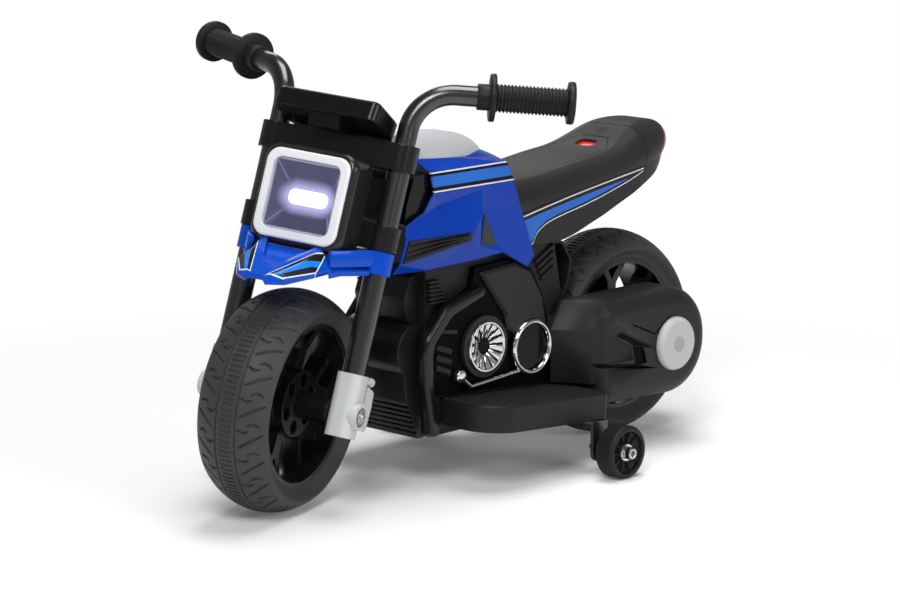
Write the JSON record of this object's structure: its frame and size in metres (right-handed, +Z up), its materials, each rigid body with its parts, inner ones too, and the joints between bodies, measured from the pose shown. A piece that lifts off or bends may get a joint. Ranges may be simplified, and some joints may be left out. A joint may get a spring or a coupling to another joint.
{
  "type": "kids electric motorbike",
  "caption": "Children's ride-on electric motorbike: faceted tank shrouds, long seat, square headlamp, raised bars, footboards, training wheels and geared rear drive.",
  "frame": {"origin": "rear tyre's contact point with the floor, in the bike's middle plane", "axes": "+X forwards along the bike, +Y to the rider's left, +Z up; the front end is turned to the left at rest, as pictured"},
  "size_m": [0.7481, 0.4319, 0.4945],
  "materials": {
    "tyre_black": "satin moulded tyre",
    "black_plastic": "fine satin moulding",
    "gloss_black": "gloss moulding",
    "blue_gloss": "gloss blue moulding with painted stripes",
    "grey_plastic": "light grey satin moulding",
    "white_frame": "white gloss moulding",
    "black_steel": "black powder coat",
    "steel": "zinc-plated",
    "rubber_black": "soft ribbed rubber",
    "chrome_trim": "plated trim",
    "red_lens": "clear red moulding",
    "dark_lens": "smoked lens",
    "clear_lens": "clear lens",
    "reflector_silver": "metallised reflector",
    "lamp_white": "lit diffuser",
    "white_nylon": "gear nylon",
    "battery_case": "dark grey case",
    "board_green": "enclosed circuit board"
  },
  "bodies": {
    "chassis": {"body_halves": "black_plastic", "head_neck": "black_plastic", "steering_bushes": "white_nylon", "shrouds": "blue_gloss", "shroud_vents": "black_plastic", "head_panels": "gloss_black", "tank_top": "grey_plastic", "seat": "black_plastic", "seat_insert": "red_lens", "tail_lens": "red_lens", "engine_front": "black_plastic", "engine_covers": "black_plastic", "guard_bars": "gloss_black", "turbines": "chrome_trim", "chrome_rings": "chrome_trim", "ring_lenses": "dark_lens", "cooling_fins": "black_plastic", "footboards": "black_plastic", "rear_arms": "black_plastic", "rear_covers": "black_plastic", "rear_caps": "grey_plastic", "splash_guard": "black_plastic", "rear_axle": "steel", "gearbox_shell": "black_plastic", "motor": "steel", "battery": "battery_case", "controller": "board_green", "speaker": "battery_case", "charge_socket": "black_plastic", "switch_frame": "black_plastic", "trainer_brackets": "steel"},
    "front_end": {"front_axle": "steel", "fork_castings": "grey_plastic", "fork_tubes": "black_steel", "lower_clamp": "gloss_black", "upper_clamp": "gloss_black", "steering_stem": "steel", "handlebars": "black_steel", "grips": "rubber_black", "lamp_housing": "gloss_black", "lamp_frame": "white_frame", "lamp_reflector": "reflector_silver", "led_bar": "lamp_white", "lamp_lens": "clear_lens", "dash": "gloss_black", "mudguard": "blue_gloss"},
    "front_wheel": {"front_tyre": "tyre_black", "front_rim": "black_plastic"},
    "rear_wheel": {"rear_tyre": "tyre_black", "rear_rim": "black_plastic", "output_gear": "white_nylon"},
    "cluster_b": {"gear_cluster_b": "white_nylon"},
    "cluster_a": {"gear_cluster_a": "white_nylon"},
    "pinion": {"motor_pinion": "steel"},
    "trainer_left": {"trainer_wheel_left": "tyre_black"},
    "trainer_right": {"trainer_wheel_right": "tyre_black"},
    "horn_button": {"button_left": "red_lens"},
    "music_button": {"button_right": "grey_plastic"},
    "pedal": {"foot_pedal": "black_plastic"},
    "rocker": {"power_rocker": "red_lens"}
  },
  "joints": [
    {"name": "steering", "type": "hinge", "parent": "chassis", "child": "front_end", "pos_m": [0.511, 0, 0.1197], "axis": [-0.3123, 0, 0.95], "range_deg": [-42.9, 5.1]},
    {"name": "front_wheel_spin", "type": "hinge", "parent": "front_end", "child": "front_wheel", "pos_m": [0.511, 0, 0.1197], "axis": [-0.3077, 0.9461, -0.1012], "continuous": true},
    {"name": "rear_wheel_spin", "type": "hinge", "parent": "chassis", "child": "rear_wheel", "pos_m": [0, 0, 0.12], "axis": [0, 1, 0], "continuous": true},
    {"name": "cluster_b_spin", "type": "hinge", "parent": "chassis", "child": "cluster_b", "pos_m": [0.04018, 0, 0.14003], "axis": [0, 1, 0], "continuous": true},
    {"name": "cluster_a_spin", "type": "hinge", "parent": "chassis", "child": "cluster_a", "pos_m": [0.07217, 0, 0.12711], "axis": [0, 1, 0], "continuous": true},
    {"name": "pinion_spin", "type": "hinge", "parent": "chassis", "child": "pinion", "pos_m": [0.09827, 0, 0.10708], "axis": [0, 1, 0], "continuous": true},
    {"name": "trainer_left_spin", "type": "hinge", "parent": "chassis", "child": "trainer_left", "pos_m": [0.157, 0, 0.03], "axis": [0, 1, 0], "continuous": true},
    {"name": "trainer_right_spin", "type": "hinge", "parent": "chassis", "child": "trainer_right", "pos_m": [0.157, 0, 0.03], "axis": [0, 1, 0], "continuous": true},
    {"name": "horn_button_press", "type": "slide", "parent": "front_end", "child": "horn_button", "axis": [0.5163, 0.0767, -0.853], "range_m": [0, 0.002], "stiffness_N_per_m": 200, "springref_m": -0.003},
    {"name": "music_button_press", "type": "slide", "parent": "front_end", "child": "music_button", "axis": [0.5163, 0.0767, -0.853], "range_m": [0, 0.002], "stiffness_N_per_m": 200, "springref_m": -0.003},
    {"name": "pedal_press", "type": "hinge", "parent": "chassis", "child": "pedal", "pos_m": [0.23339, 0, 0.10081], "axis": [0, 1, 0], "range_deg": [0, 8], "stiffness_Nm_per_rad": 0.8, "springref_deg": -8.59},
    {"name": "rocker_tilt", "type": "hinge", "parent": "chassis", "child": "rocker", "pos_m": [0.16, -0.054, 0.233], "axis": [0, 0, 1], "range_deg": [0, 12]}
  ],
  "couplings": [
    {"joint": "cluster_b_spin", "follows": "rear_wheel_spin", "ratio": -6},
    {"joint": "cluster_a_spin", "follows": "rear_wheel_spin", "ratio": 26.25},
    {"joint": "pinion_spin", "follows": "rear_wheel_spin", "ratio": -153.12}
  ]
}
